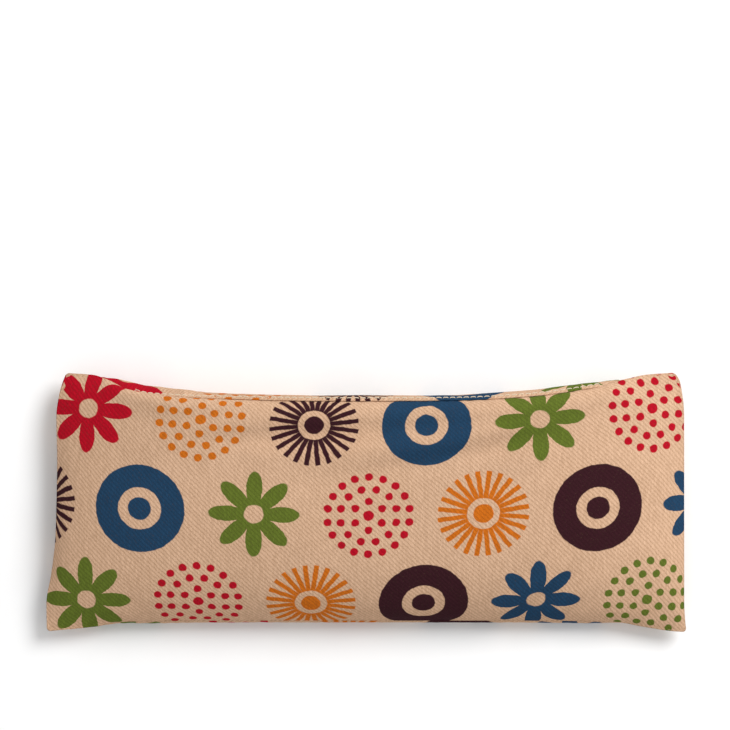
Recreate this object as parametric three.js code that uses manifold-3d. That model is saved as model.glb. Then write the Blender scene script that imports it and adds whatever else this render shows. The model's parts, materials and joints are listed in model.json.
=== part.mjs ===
// A seed-filled eye pillow: a printed twill cover round a plain inner bag of flax seed.
// Millimetres, +Z up. The pillow lies on its back panel, its length along X.
// The origin is the centre of the space it covers, on the surface that it rests on.

import * as THREE from "three";
import { mergeVertices } from "three/addons/utils/BufferGeometryUtils.js";
import Module from "manifold-3d";

const wasm = await Module();
wasm.setup();

// Whole pillow
const LENGTH = 255; // along X, at the tips of the corners before rounding
const WIDTH = 104.5; // along Y, likewise
const HEIGHT = 30; // crown above the resting surface
const SEAM_HEIGHT = 11; // plane of the perimeter seam
const UPPER_SIDE_PULL = 9.2; // how far the filling draws in the middle of each side
const LOWER_SIDE_PULL = 3.4;
const END_PULL = 1.2;
const CORNER_ROUNDING = 0.012; // share of the half size lost at a corner
const EAR_THICKNESS = 4; // each panel's rise just inside the seam, where no seed reaches
const REST_FLATNESS = 1.3; // above 1, the underside has a flat that it rests on

// Cloth and thread
const TWILL = 0.7;
const MUSLIN = 0.4;
const TWILL_ALLOWANCE = 6.4;
const MUSLIN_ALLOWANCE = 5;
const THREAD = 0.4;
const GAP = 0.3; // between two pieces that touch
const STITCH_INSET = 1.7; // perimeter stitch line, in from the sewn edge
const STITCH_CORNER = 6; // radius of the stitch line's corners

// Inner bag and fill, each set in from the piece around it
const BAG_INSET = TWILL_ALLOWANCE + 1;
const BAG_DEPTH = TWILL + GAP;
const SEED_CLEARANCE = 1.6; // room for the bag's own allowances and threads, each side of its seam

// Closing seam along the upper long side
const CLOSING_HALF = 95;
const LAP_COVER = 3.3; // how much of the front the back panel's folded edge covers, in plan
const LAP_TURN = 2; // width of the turned edge and of the tongue it is sewn to
const LAP_STITCH = 1.1; // stitch line, back from the lap's free edge, in plan
const BAG_CLOSING_HALF = 32;
const CLOSING_THREAD_END = 6; // each closing piece stops this far short of the seam's end
const TONGUE_END = 5;
const BAG_THREAD_END = 2;
const OUTSIDE = 2; // clear of the pouch on the outside

// Number of facets
const STEPS_U = 22;
const STEPS_V = 14;
const BORDER_STEPS = 14;
const THREAD_SIDES = 6;
const SEAM_THREAD_STEPS = 72;
const CLOSING_THREAD_STEPS = 40;
const BAG_THREAD_STEPS = 12;
const MARK_SPACING = 24; // between points of a stitch line's straight stretches
const CORNER_MARKS = 4;

// ---- Shape of the pouch -------------------------------------------------------------

// How full the pouch is at a share of the way from the middle (0) to the edge (1).
function fullness(share, power) {
  return Math.sqrt(Math.max(0, 1 - Math.abs(share) ** power));
}

// Plan position for u along the length and v across, each from -1 to 1, in an outline that
// is set in by `inset`.
function plan(u, v, inset) {
  const upper = WIDTH / 2 - UPPER_SIDE_PULL * (1 - u ** 4);
  const lower = -WIDTH / 2 + LOWER_SIDE_PULL * (1 - u ** 4);
  const middle = (upper + lower) / 2;
  const half = (upper - lower) / 2 - inset;
  const end = LENGTH / 2 - END_PULL * (1 - v ** 2) - inset;
  const rounding = 1 - CORNER_ROUNDING * (u * v) ** 8;
  return [u * end * rounding, middle + v * half * rounding];
}

// Distance from the seam plane to a side whose middle is `crown` away from it, less `depth`.
function rise(u, v, crown, depth) {
  const ear = (EAR_THICKNESS - depth) * fullness(u, 75) * fullness(v, 30);
  return ear + (crown - EAR_THICKNESS) * fullness(u, 6) * fullness(v, 2.2);
}

// A point on the upper side (side 1) or underside (side -1) of a pouch that lies inside the
// cover's outer face, `inset` further in at the seam and `depth` deeper at its faces.
function pouchPoint(u, v, side, inset, depth) {
  const [x, y] = plan(u, v, inset);
  if (side > 0) return [x, y, SEAM_HEIGHT + rise(u, v, HEIGHT - SEAM_HEIGHT, depth)];
  const drop = REST_FLATNESS * rise(u, v, SEAM_HEIGHT, depth);
  return [x, y, Math.max(depth, SEAM_HEIGHT - drop)];
}

// Grid values from -1 to 1, closer together towards the ends, where the cloth turns over.
function gridValue(i, steps) {
  return Math.sin((i / steps - 0.5) * Math.PI);
}

// ---- Solids -------------------------------------------------------------------------

function solidFrom(vertProperties, triVerts) {
  return new wasm.Manifold(
    new wasm.Mesh({
      numProp: 3,
      vertProperties: new Float32Array(vertProperties),
      triVerts: new Uint32Array(triVerts),
    }),
  );
}

function solidOf(geometry) {
  const bare = geometry.index ? geometry.toNonIndexed() : geometry.clone();
  bare.deleteAttribute("normal");
  bare.deleteAttribute("uv");
  const merged = mergeVertices(bare, 1e-4);
  return solidFrom(merged.attributes.position.array, merged.index.array);
}

// A whole filled pouch as one solid, its two sides joined along the seam.
function pouch(inset, depth) {
  const points = [];
  const faces = [];
  const row = STEPS_V + 1;
  const index = { 1: [], "-1": [] };
  for (const side of [1, -1]) {
    for (let i = 0; i <= STEPS_U; i++) {
      for (let j = 0; j <= STEPS_V; j++) {
        const edge = i === 0 || j === 0 || i === STEPS_U || j === STEPS_V;
        if (side < 0 && edge) {
          index[side].push(index[1][i * row + j]);
          continue;
        }
        index[side].push(points.length / 3);
        const u = gridValue(i, STEPS_U);
        const v = gridValue(j, STEPS_V);
        points.push(...pouchPoint(u, v, side, inset, depth));
      }
    }
    for (let i = 0; i < STEPS_U; i++) {
      for (let j = 0; j < STEPS_V; j++) {
        const a = index[side][i * row + j];
        const b = index[side][(i + 1) * row + j];
        const c = index[side][(i + 1) * row + j + 1];
        const d = index[side][i * row + j + 1];
        if (side > 0) faces.push(a, b, c, a, c, d);
        else faces.push(a, c, b, a, d, c);
      }
    }
  }
  return solidFrom(points, faces);
}

// A slab that keeps only what lies between two heights.
function slab(low, high) {
  const box = new THREE.BoxGeometry(LENGTH * 2, WIDTH * 2, high - low);
  box.translate(0, 0, (low + high) / 2);
  return solidOf(box);
}

// Points of the pouch's outline, set in by `inset`, anticlockwise from the lower left corner.
function outline(inset) {
  const points = [];
  const sides = [
    (t) => [t, -1],
    (t) => [1, t],
    (t) => [-t, 1],
    (t) => [-1, -t],
  ];
  for (const side of sides) {
    for (let i = 0; i < BORDER_STEPS; i++) {
      const [u, v] = side(gridValue(i, BORDER_STEPS));
      points.push(new THREE.Vector2(...plan(u, v, inset)));
    }
  }
  return points;
}

function extruded(shape, low, high) {
  const geometry = new THREE.ExtrudeGeometry(shape, { depth: high - low, bevelEnabled: false });
  geometry.translate(0, 0, low);
  return solidOf(geometry);
}

// A flat ring of turned-in cloth that follows the outline.
function ring(outerInset, innerInset, low, high) {
  const shape = new THREE.Shape(outline(outerInset));
  shape.holes.push(new THREE.Path(outline(innerInset)));
  return extruded(shape, low, high);
}

// One panel: the shell on its side of the seam, with its seam allowance turned in.
function panel(side, inset, depth, cloth, allowance) {
  const shell = pouch(inset, depth).subtract(pouch(inset + cloth, depth + cloth));
  const near = GAP / 2;
  const far = near + cloth;
  const between = side > 0
    ? [SEAM_HEIGHT + near, SEAM_HEIGHT + far]
    : [SEAM_HEIGHT - far, SEAM_HEIGHT - near];
  const half = side > 0
    ? slab(SEAM_HEIGHT + near, HEIGHT * 2)
    : slab(-HEIGHT, SEAM_HEIGHT - near);
  const turned = ring(inset + cloth / 2, inset + allowance, ...between);
  return shell.intersect(half).add(turned);
}

// The shell between two depths inside the cover's outer face; a depth below 0 lies outside it.
function layer(outerDepth, innerDepth) {
  return pouch(outerDepth, outerDepth).subtract(pouch(innerDepth, innerDepth));
}

// How far in from the outline the lap's free edge lies: it runs out to the seam at both ends.
function lapEdge(x) {
  return LAP_COVER * (1 - Math.abs(x / CLOSING_HALF) ** 8);
}

// A block over a strip of the upper long side, out to `half` each way along it. `from` and `to`
// are distances inwards from the lap's free edge; a null `from` starts it outside the pouch.
function closingStrip(half, from, to, low, high) {
  const points = [];
  for (const [start, inwards] of [[-half, from], [half, to]]) {
    for (let i = 0; i <= BORDER_STEPS; i++) {
      const x = start * (1 - (2 * i) / BORDER_STEPS);
      const inset = inwards === null ? -OUTSIDE : lapEdge(x) + inwards;
      points.push(new THREE.Vector2(...plan(x / (LENGTH / 2), 1, inset)));
    }
  }
  return extruded(new THREE.Shape(points), low, high);
}

// The front panel stops short of the lap's edge and steps down into a tongue that lies under it.
function frontPanel() {
  const high = 2 * HEIGHT;
  const tongue = CLOSING_HALF - TONGUE_END;
  const seam = SEAM_HEIGHT + GAP / 2;
  const turned = seam + TWILL + GAP;
  const underLap = TWILL + GAP;
  return panel(1, 0, 0, TWILL, TWILL_ALLOWANCE)
    .subtract(closingStrip(CLOSING_HALF, null, GAP, SEAM_HEIGHT, high))
    .subtract(closingStrip(CLOSING_HALF, null, TWILL_ALLOWANCE, SEAM_HEIGHT, turned))
    .add(
      layer(underLap, underLap + TWILL).intersect(
        closingStrip(tongue, -LAP_TURN, LAP_TURN, turned, high),
      ),
    )
    .add(
      layer(TWILL / 2, underLap + TWILL).intersect(
        closingStrip(tongue, GAP, LAP_TURN, turned, high),
      ),
    );
}

// The back panel rolls over the upper side onto the front, where its edge is turned under.
function backPanel() {
  const high = 2 * HEIGHT;
  const seam = SEAM_HEIGHT - GAP / 2;
  return panel(-1, 0, 0, TWILL, TWILL_ALLOWANCE)
    .add(
      layer(0, TWILL).intersect(closingStrip(CLOSING_HALF, null, 0, seam - TWILL, high)),
    )
    .add(
      layer(-TWILL, TWILL / 2).intersect(
        closingStrip(CLOSING_HALF, -LAP_TURN, 0, SEAM_HEIGHT + GAP, high),
      ),
    );
}

// ---- Threads ------------------------------------------------------------------------

function tube(points, steps) {
  const section = new THREE.Shape();
  for (let i = 0; i < THREAD_SIDES; i++) {
    const angle = (i / THREAD_SIDES) * 2 * Math.PI;
    const x = (THREAD / 2) * Math.cos(angle);
    const y = (THREAD / 2) * Math.sin(angle);
    if (i === 0) section.moveTo(x, y);
    else section.lineTo(x, y);
  }
  section.closePath();
  const path = new THREE.CatmullRomCurve3(points, false, "centripetal");
  const geometry = new THREE.ExtrudeGeometry(section, {
    steps,
    extrudePath: path,
    bevelEnabled: false,
  });
  return solidOf(geometry);
}

// Stitch line round the pouch at one height, with round corners, open over the closing seam.
function seamPath(inset, height, openHalf) {
  const halfX = LENGTH / 2;
  const halfY = WIDTH / 2;
  const round = STITCH_CORNER;
  const marks = [];
  const add = (x, y) => {
    marks.push([x / halfX, y / halfY]);
  };
  const corner = (cx, cy, start) => {
    for (let i = 0; i <= CORNER_MARKS; i++) {
      const angle = start + (i / CORNER_MARKS) * (Math.PI / 2);
      add(cx + round * Math.cos(angle), cy + round * Math.sin(angle));
    }
  };
  const along = (from, to, place) => {
    const count = Math.ceil(Math.abs(to - from) / MARK_SPACING);
    for (let i = 1; i < count; i++) place(from + ((to - from) * i) / count);
  };
  const left = -halfX + round;
  const right = halfX - round;
  const low = -halfY + round;
  const high = halfY - round;
  add(-openHalf, halfY);
  along(-openHalf, left, (x) => add(x, halfY));
  corner(left, high, Math.PI / 2);
  along(high, low, (y) => add(-halfX, y));
  corner(left, low, Math.PI);
  along(left, right, (x) => add(x, -halfY));
  corner(right, low, 1.5 * Math.PI);
  along(low, high, (y) => add(halfX, y));
  corner(right, high, 0);
  along(right, openHalf, (x) => add(x, halfY));
  add(openHalf, halfY);
  return marks.map(([u, v]) => new THREE.Vector3(...plan(u, v, inset), height));
}

// One thread of a seam: above the turned-in allowances (side 1) or below them (side -1).
function seamThread(side, inset, cloth, openHalf) {
  const away = GAP / 2 + cloth + GAP + THREAD / 2;
  return tube(seamPath(inset, SEAM_HEIGHT + side * away, openHalf), SEAM_THREAD_STEPS);
}

// The cover's closing stitch, at a depth below the cover's face: above the lap or under the tongue.
function closingThread(depth) {
  const points = [];
  for (let i = 0; i <= BORDER_STEPS; i++) {
    const x = (CLOSING_HALF - CLOSING_THREAD_END) * ((2 * i) / BORDER_STEPS - 1);
    const u = x / (LENGTH / 2);
    const half = plan(u, 1, 0)[1] - plan(u, 0, 0)[1];
    const v = 1 - (lapEdge(x) - LAP_STITCH) / half;
    points.push(new THREE.Vector3(...pouchPoint(u, v, 1, depth, depth)));
  }
  return tube(points, CLOSING_THREAD_STEPS);
}

// The inner bag's closing stitch runs straight across the gap left in its seam.
function bagClosingThread(side) {
  const away = GAP / 2 + MUSLIN + GAP + THREAD / 2;
  const points = [];
  for (let i = 0; i <= BAG_THREAD_STEPS; i++) {
    const last = (BAG_CLOSING_HALF - BAG_THREAD_END) / (LENGTH / 2);
    const u = last * ((2 * i) / BAG_THREAD_STEPS - 1);
    const [x, y] = plan(u, 1, BAG_INSET + STITCH_INSET);
    points.push(new THREE.Vector3(x, y, SEAM_HEIGHT + side * away));
  }
  return tube(points, BAG_THREAD_STEPS);
}

// ---- Pieces -------------------------------------------------------------------------

function meshOf(name, solid, material) {
  const mesh = solid.getMesh();
  const geometry = new THREE.BufferGeometry();
  geometry.setAttribute("position", new THREE.BufferAttribute(mesh.vertProperties, 3));
  geometry.setIndex(new THREE.BufferAttribute(mesh.triVerts, 1));
  geometry.computeVertexNormals();
  const piece = new THREE.Mesh(geometry, material);
  piece.name = name;
  return piece;
}

function cloth(colour, roughness) {
  return new THREE.MeshStandardMaterial({ color: colour, roughness, metalness: 0 });
}

function outerCover() {
  const cover = new THREE.Group();
  const twill = cloth(0xd8b490, 0.9);
  const cream = cloth(0xefe6d2, 0.7);
  const coverThread = (side) => seamThread(side, STITCH_INSET, TWILL, CLOSING_HALF);
  const onLap = -TWILL - GAP - THREAD / 2;
  const underTongue = 2 * TWILL + 3 * GAP + THREAD / 2;
  cover.add(
    meshOf("front_panel", frontPanel(), twill),
    meshOf("back_panel", backPanel(), twill.clone()),
    meshOf("seam_needle_thread", coverThread(1), cream),
    meshOf("seam_bobbin_thread", coverThread(-1), cream.clone()),
    meshOf("closing_needle_thread", closingThread(onLap), cream.clone()),
    meshOf("closing_bobbin_thread", closingThread(underTongue), cream.clone()),
  );
  return cover;
}

function innerBag() {
  const bag = new THREE.Group();
  const muslin = cloth(0xece4d0, 0.95);
  const white = cloth(0xf4f1e8, 0.7);
  const bagPanel = (side) => panel(side, BAG_INSET, BAG_DEPTH, MUSLIN, MUSLIN_ALLOWANCE);
  const bagThread = (side) => seamThread(side, BAG_INSET + STITCH_INSET, MUSLIN, BAG_CLOSING_HALF);
  bag.add(
    meshOf("inner_bag_front", bagPanel(1), muslin),
    meshOf("inner_bag_back", bagPanel(-1), muslin.clone()),
    meshOf("bag_seam_needle_thread", bagThread(1), white),
    meshOf("bag_seam_bobbin_thread", bagThread(-1), white.clone()),
    meshOf("bag_closing_needle_thread", bagClosingThread(1), white.clone()),
    meshOf("bag_closing_bobbin_thread", bagClosingThread(-1), white.clone()),
  );
  return bag;
}

// The seeds as one packed bed, grooved round its edge where the bag's allowances reach in.
function seedFill() {
  const inset = BAG_INSET + MUSLIN + GAP;
  const depth = BAG_DEPTH + MUSLIN + GAP;
  const groove = ring(
    inset - OUTSIDE,
    BAG_INSET + MUSLIN_ALLOWANCE + GAP,
    SEAM_HEIGHT - SEED_CLEARANCE,
    SEAM_HEIGHT + SEED_CLEARANCE,
  );
  const flax = cloth(0x7a4a26, 0.5);
  return meshOf("seed_fill", pouch(inset, depth).subtract(groove), flax);
}

const group = new THREE.Group();
group.name = "eye_pillow";
group.add(outerCover(), innerBag(), seedFill());

export default group;
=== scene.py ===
import json
import math

import bpy
import numpy as np
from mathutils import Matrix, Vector

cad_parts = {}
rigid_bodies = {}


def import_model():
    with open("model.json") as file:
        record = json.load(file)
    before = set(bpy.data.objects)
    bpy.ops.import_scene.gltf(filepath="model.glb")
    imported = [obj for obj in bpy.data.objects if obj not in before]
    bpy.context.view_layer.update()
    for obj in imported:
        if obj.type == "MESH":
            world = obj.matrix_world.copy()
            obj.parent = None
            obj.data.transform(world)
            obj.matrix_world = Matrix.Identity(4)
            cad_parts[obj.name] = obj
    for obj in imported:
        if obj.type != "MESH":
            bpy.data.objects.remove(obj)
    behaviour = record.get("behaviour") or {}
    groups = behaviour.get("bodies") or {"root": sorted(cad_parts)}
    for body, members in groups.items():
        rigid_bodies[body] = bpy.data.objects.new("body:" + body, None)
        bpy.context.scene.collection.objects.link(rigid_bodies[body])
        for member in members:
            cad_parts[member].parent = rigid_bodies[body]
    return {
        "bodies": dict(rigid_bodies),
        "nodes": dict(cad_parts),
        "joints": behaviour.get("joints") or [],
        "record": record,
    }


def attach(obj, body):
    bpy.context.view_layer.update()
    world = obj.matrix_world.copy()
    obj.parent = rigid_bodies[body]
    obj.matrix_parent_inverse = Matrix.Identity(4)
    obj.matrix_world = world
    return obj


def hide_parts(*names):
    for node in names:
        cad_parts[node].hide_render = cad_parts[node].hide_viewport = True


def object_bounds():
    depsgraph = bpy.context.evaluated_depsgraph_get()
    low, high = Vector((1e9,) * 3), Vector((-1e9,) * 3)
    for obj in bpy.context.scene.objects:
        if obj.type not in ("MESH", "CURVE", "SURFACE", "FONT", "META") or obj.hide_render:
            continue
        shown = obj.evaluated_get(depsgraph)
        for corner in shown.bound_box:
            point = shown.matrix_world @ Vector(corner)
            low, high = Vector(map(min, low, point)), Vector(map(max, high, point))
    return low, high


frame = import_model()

cad_low, cad_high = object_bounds()

# Everything is worked out in millimetres and scaled to metres when a mesh is made.
MM = 0.001
HALF_X = cad_high.x / MM
HALF_Y = cad_high.y / MM
random = np.random.default_rng(11)

# Simulated cloth: cells along and across each panel, and the size between the seams.
COLUMNS, ROWS = 100, 40
CUT_LOWER, CUT_UPPER, CUT_WIDTH = 255.0, 244.0, 103.0
# Share of CUT_WIDTH that each panel has: the back reaches further round the sides.
SPAN = (0.95, 1.06)
STEPS, PASSES = 90, 10
START_DOME = (15, 8)
MOMENTUM = 0.9
FOLD_STIFFNESS, FOLD_REST = 0.25, 0.985
SHEAR_STIFFNESS = 0.6
FILL_VOLUME = 455000.0
FILL_PRESSURE, FILL_WEIGHT = 0.05, 0.5
FILL_GAIN, FILL_RANGE = 8, (-1, 4)
# Least height of filling between the panels, reached so many cells in from the seam.
FILL_LEAST, FILL_LEAST_CELLS = 4.0, 3

# Outer cloth: thickness, pitch of stacked layers, turned-in allowance, corner radius.
TWILL, LAYER, ALLOWANCE, CORNER = 0.30, 0.32, 6.3, 1.5
FLOOR_GAP = 0.01
# The closing seam's half length and the stretch over which it fades out at its ends.
CLOSING_HALF, CLOSING_TAPER = 94.5, 4.5
# Stitch pitch, path points in one stitch, and how far down the lip the stitch runs.
STITCH, STITCH_STEPS, STITCH_DOWN = 2.7, 10, 0.45
# Reach of the dent that each hole makes along the stitch.
STITCH_DENT = 0.5
# Height in layers of the needle thread's face, and of the bobbin thread in mid stitch and
# at a hole.
NEEDLE_LAYERS, BOBBIN_LAYERS = 3.95, (0.45, 1.6)
THREAD, BAG_THREAD = 0.21, 0.13
SEAM_INSET, SEAM_OPENING, SEAM_DEPTH = 1.7, 0.785, 0.42
# Room that a hidden seam leaves under the outer cloth, and its least depth.
SEAM_ROOM, SEAM_LOW = 0.55, 0.05

# Inner bag and seeds: distance in from the outer seam line and under the outer cloth.
BAG_INSET, BAG_DEPTH, SEED_INSET, SEED_DEPTH = 7.4, 1.0, 8.4, 1.5
MUSLIN_THICK = 0.24
BAG_ALLOWANCE = (0.3, 1.2, 2.6, 4.8)
BAG_ROUND, BAG_SWELL, BAG_WAVE = 13.0, 0.05, 9
BAG_SEAM_INSET, BAG_SEAM_OPENING, BAG_SEAM_DEPTH = BAG_INSET + 1.5, 0.24, 0.32
BAG_CLOSING, BAG_CLOSING_INSET = 28.0, BAG_INSET + 0.8
SEED_PITCH, SEED_RELIEF = 3.4, 0.28


# ------------------------------------------------------------------ the seam line
# Share of the way along a side, inset from the box side, height.
UPPER = [
    (-1, 0.4, 10), (-0.91, 1.2, 12), (-0.86, 3.2, 14), (-0.83, 5.0, 15.5),
    (-0.785, 8.0, 18), (-0.72, 9.8, 20), (-0.53, 10.9, 22.3), (-0.2, 11.3, 23.5),
    (0.25, 11.3, 23.5), (0.52, 9.8, 22.7), (0.71, 6.6, 20.5), (0.78, 4.7, 18),
    (0.83, 3.0, 15.5), (0.91, 1.0, 12), (1, 0.3, 10),
]
LOWER = [
    (-1, 0.6, 8), (-0.85, 2.5, 8), (-0.75, 4.6, 8.5), (-0.4, 5.1, 9),
    (0.4, 5.1, 9), (0.77, 4.6, 8.5), (0.87, 2.4, 8), (0.95, 0.8, 8), (1, 0.3, 8),
]
LEFT = [
    (-1, 0.4, 8), (-0.79, 0.3, 9), (-0.54, 2.5, 10), (-0.27, 4.1, 11),
    (-0.04, 4.5, 11.5), (0.33, 4.8, 11.5), (0.66, 4.4, 11), (0.85, 5.7, 10.5),
    (1, 8.2, 10),
]
RIGHT = [
    (-1, 0.4, 8), (-0.76, 1.4, 10), (0, 1.5, 11.5), (0.68, 1.5, 11),
    (0.92, 2.9, 10), (1, 4.9, 10),
]


def smooth_curve(points, at):
    """Hermite curve through (t, value...) points that doesn't overshoot them."""
    points = np.array(points, float)
    t, y = points[:, 0], points[:, 1:]
    step = np.diff(t)[:, None]
    rise = np.diff(y, axis=0) / step
    slope = np.zeros_like(y)
    same = rise[:-1] * rise[1:] > 0
    pair = np.where(same, rise[:-1] + rise[1:], 1)
    slope[1:-1] = np.where(same, 2 * rise[:-1] * rise[1:] / pair, 0)
    slope[0], slope[-1] = rise[0], rise[-1]
    at = np.clip(np.asarray(at, float), t[0], t[-1])
    k = np.clip(np.searchsorted(t, at) - 1, 0, len(t) - 2)
    s = ((at - t[k]) / (t[k + 1] - t[k]))[..., None]
    h = step[k]
    return (
        (1 + 2 * s) * (1 - s) ** 2 * y[k]
        + s * (1 - s) ** 2 * h * slope[k]
        + s * s * (3 - 2 * s) * y[k + 1]
        + s * s * (s - 1) * h * slope[k + 1]
    )


def membrane(u, v):
    """Smooth surface spanning the closed seam line, for u and v from -1 to 1."""
    u, v = np.clip(u, -1, 1), np.clip(v, -1, 1)
    s, t = (u[..., None] + 1) / 2, (v[..., None] + 1) / 2

    def corner(a, b):
        across = LEFT if a < 0 else RIGHT
        along = UPPER if b > 0 else LOWER
        end = across[-1] if b > 0 else across[0]
        tip = along[-1] if a > 0 else along[0]
        return np.array([a * (HALF_X - end[1]), b * (HALF_Y - tip[1]), (end[2] + tip[2]) / 2])

    low_left, low_right = corner(-1, -1), corner(1, -1)
    top_left, top_right = corner(-1, 1), corner(1, 1)

    def along(table, a, b, sign):
        value = smooth_curve(table, u)
        x = a[0] + (b[0] - a[0]) * s[..., 0]
        return np.stack([x, sign * (HALF_Y - value[..., 0]), value[..., 1]], -1)

    def across(table, a, b, sign):
        value = smooth_curve(table, v)
        y = a[1] + (b[1] - a[1]) * t[..., 0]
        return np.stack([sign * (HALF_X - value[..., 0]), y, value[..., 1]], -1)

    bottom = along(LOWER, low_left, low_right, -1)
    top = along(UPPER, top_left, top_right, 1)
    left = across(LEFT, low_left, top_left, -1)
    right = across(RIGHT, low_right, top_right, 1)
    bilinear = (
        (1 - s) * (1 - t) * low_left + s * (1 - t) * low_right
        + (1 - s) * t * top_left + s * t * top_right
    )
    return (1 - t) * bottom + t * top + (1 - s) * left + s * right - bilinear


# ------------------------------------------------------------------ filling the pouch
def flat_cut(u, v):
    """Where a point of the panel lies on the flat cloth, in millimetres."""
    half = ((1 - v) * CUT_LOWER + (1 + v) * CUT_UPPER) / 4
    return np.stack([u * half, v * CUT_WIDTH / 2], -1)


# How far the back panel rolls out past the seam: place along the side, distance.
ROLL_ABOVE = [
    (-110, 0), (-105, 0.8), (-100, 2.7), (-95, 4.7), (-89, 5.1), (-76, 4.1),
    (-57, 2.6), (-39, 2.1), (-20, 1.9), (25, 1.9), (53, 2.5), (80, 2.7), (90, 2.3),
    (98, 1.4), (106, 0),
]
ROLL_BELOW = [(-106, 0), (-96, 0.9), (-86, 1.3), (86, 1.3), (96, 0.9), (106, 0)]
ROLL_STEPS, ROLL_SHAPE = 8, 0.9


def roll_over(cloth):
    """Rounds the back panel's long sides out past the seam, above and below."""
    middle = ROWS // 2
    sides = ((slice(middle, None), -1, 1, ROLL_ABOVE), (slice(0, middle), 0, -1, ROLL_BELOW))
    for rows, seam, way, roll in sides:
        side, top = cloth[1, :, rows], cloth[0, :, seam][:, None]
        reach = np.interp(top[:, 0, 0], *np.array(roll, float).T)
        bulge = np.sin(np.pi * np.clip(side[..., 2] / top[..., 2], 0, 1)) ** ROLL_SHAPE
        for _ in range(ROLL_STEPS):
            lack = np.maximum(way * top[:, 0, 1] + reach - (way * side[..., 1]).max(1), 0)
            side[..., 1] += way * lack[:, None] * bulge
    return cloth


def fill_pouch():
    """Position-based cloth: two panels sewn along the seam line, pushed out by the
    filling's weight and pressure, and resting on the floor."""
    u, v = np.meshgrid(
        np.linspace(-1, 1, COLUMNS + 1), np.linspace(-1, 1, ROWS + 1), indexing="ij"
    )
    spread = membrane(u, v)
    flat = np.stack([flat_cut(u, v) * (1, share) for share in SPAN])
    dome = np.sqrt(np.clip((1 - np.abs(u) ** 4) * (1 - v**2), 0, 1))
    cloth = np.stack([spread, spread])
    cloth[0, ..., 2] += START_DOME[0] * dome
    cloth[1, ..., 2] = np.maximum(cloth[1, ..., 2] - START_DOME[1] * dome, 0)
    pinned = np.zeros(u.shape, bool)
    pinned[[0, -1]] = True
    pinned[:, [0, -1]] = True
    for i in (1, -2):
        for j in (1, -2):
            pinned[i, j] = True
    held = spread[pinned]
    everything = slice(None)
    ties = []

    def tie(a, b, stiffness, only_push=False):
        a, b = (everything, *a), (everything, *b)
        rest = np.linalg.norm(flat[b] - flat[a], axis=-1)[..., None]
        if only_push:
            rest = rest * FOLD_REST
        ties.append((a, b, rest, stiffness, only_push))

    for c in (0, 1):
        near_u, far_u = slice(c, COLUMNS, 2), slice(c + 1, None, 2)
        tie((near_u, everything), (far_u, everything), 1.0)
        tie((everything, slice(c, ROWS, 2)), (everything, slice(c + 1, None, 2)), 1.0)
        tie((near_u, slice(0, -1)), (far_u, slice(1, None)), SHEAR_STIFFNESS)
        tie((near_u, slice(1, None)), (far_u, slice(0, -1)), SHEAR_STIFFNESS)
        i = [k for k in range(COLUMNS - 1) if k // 2 % 2 == c]
        j = [k for k in range(ROWS - 1) if k // 2 % 2 == c]
        tie((i,), ([k + 2 for k in i],), FOLD_STIFFNESS, True)
        tie((everything, j), (everything, [k + 2 for k in j]), FOLD_STIFFNESS, True)
    # The panels keep this far apart: nothing at the seam, FILL_LEAST a few cells in.
    cells = np.minimum(COLUMNS / 2 * (1 - np.abs(u)), ROWS / 2 * (1 - np.abs(v)))
    apart = FILL_LEAST * np.clip(cells / FILL_LEAST_CELLS, 0, 1)
    before = cloth.copy()
    for _ in range(STEPS):
        normal = np.cross(np.gradient(cloth, axis=1), np.gradient(cloth, axis=2))
        normal[1] *= -1
        volume = (cloth * normal).sum() / 3
        push = FILL_PRESSURE * np.clip(
            1 + FILL_GAIN * (FILL_VOLUME / volume - 1), *FILL_RANGE
        )
        height = cloth[..., 2]
        top = height.max()
        push = push + FILL_PRESSURE * FILL_WEIGHT * (top - height) / top
        moved = (cloth - before) * MOMENTUM
        before = cloth.copy()
        cloth = cloth + moved + normal * push[..., None]
        for _ in range(PASSES):
            for a, b, rest, stiffness, only_push in ties:
                gap = cloth[b] - cloth[a]
                length = np.linalg.norm(gap, axis=-1, keepdims=True)
                move = 0.5 * stiffness * (1 - rest / np.maximum(length, 1e-6))
                if only_push:
                    move = np.minimum(move, 0)
                cloth[a] = cloth[a] + move * gap
                cloth[b] = cloth[b] - move * gap
            cloth[:, pinned] = held
            cloth[..., 2] = np.maximum(cloth[..., 2], 0)
        lack = np.maximum(apart - (cloth[0, ..., 2] - cloth[1, ..., 2]), 0) / 2
        cloth[0, ..., 2] += lack
        cloth[1, ..., 2] = np.maximum(cloth[1, ..., 2] - lack, 0)
    return roll_over(cloth)


def sample(field, u, v):
    """field[i, j, ...] read smoothly at scattered points u, v from -1 to 1."""
    cells_u, cells_v = field.shape[0] - 1, field.shape[1] - 1
    shape = np.shape(u)
    a, b = (np.ravel(u) + 1) / 2 * cells_u, (np.ravel(v) + 1) / 2 * cells_v
    pad = np.pad(field, ((1, 1), (1, 1)) + ((0, 0),) * (field.ndim - 2))
    pad[0], pad[-1] = 2 * pad[1] - pad[2], 2 * pad[-2] - pad[-3]
    pad[:, 0], pad[:, -1] = 2 * pad[:, 1] - pad[:, 2], 2 * pad[:, -2] - pad[:, -3]

    def parts(at, cells):
        at = np.clip(at, 0, cells)
        k = np.minimum(np.floor(at).astype(int), cells - 1)
        f = at - k
        w = np.stack([
            (1 - f) ** 3, 3 * f**3 - 6 * f**2 + 4,
            -3 * f**3 + 3 * f**2 + 3 * f + 1, f**3,
        ]) / 6
        return k, w

    ku, wu = parts(a, cells_u)
    kv, wv = parts(b, cells_v)
    out = 0
    tail = (None,) * (field.ndim - 2)
    for i in range(4):
        for j in range(4):
            weight = (wu[i] * wv[j])[(slice(None), *tail)]
            out = out + weight * pad[ku + i, kv + j]
    return out.reshape(*shape, *field.shape[2:])


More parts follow.
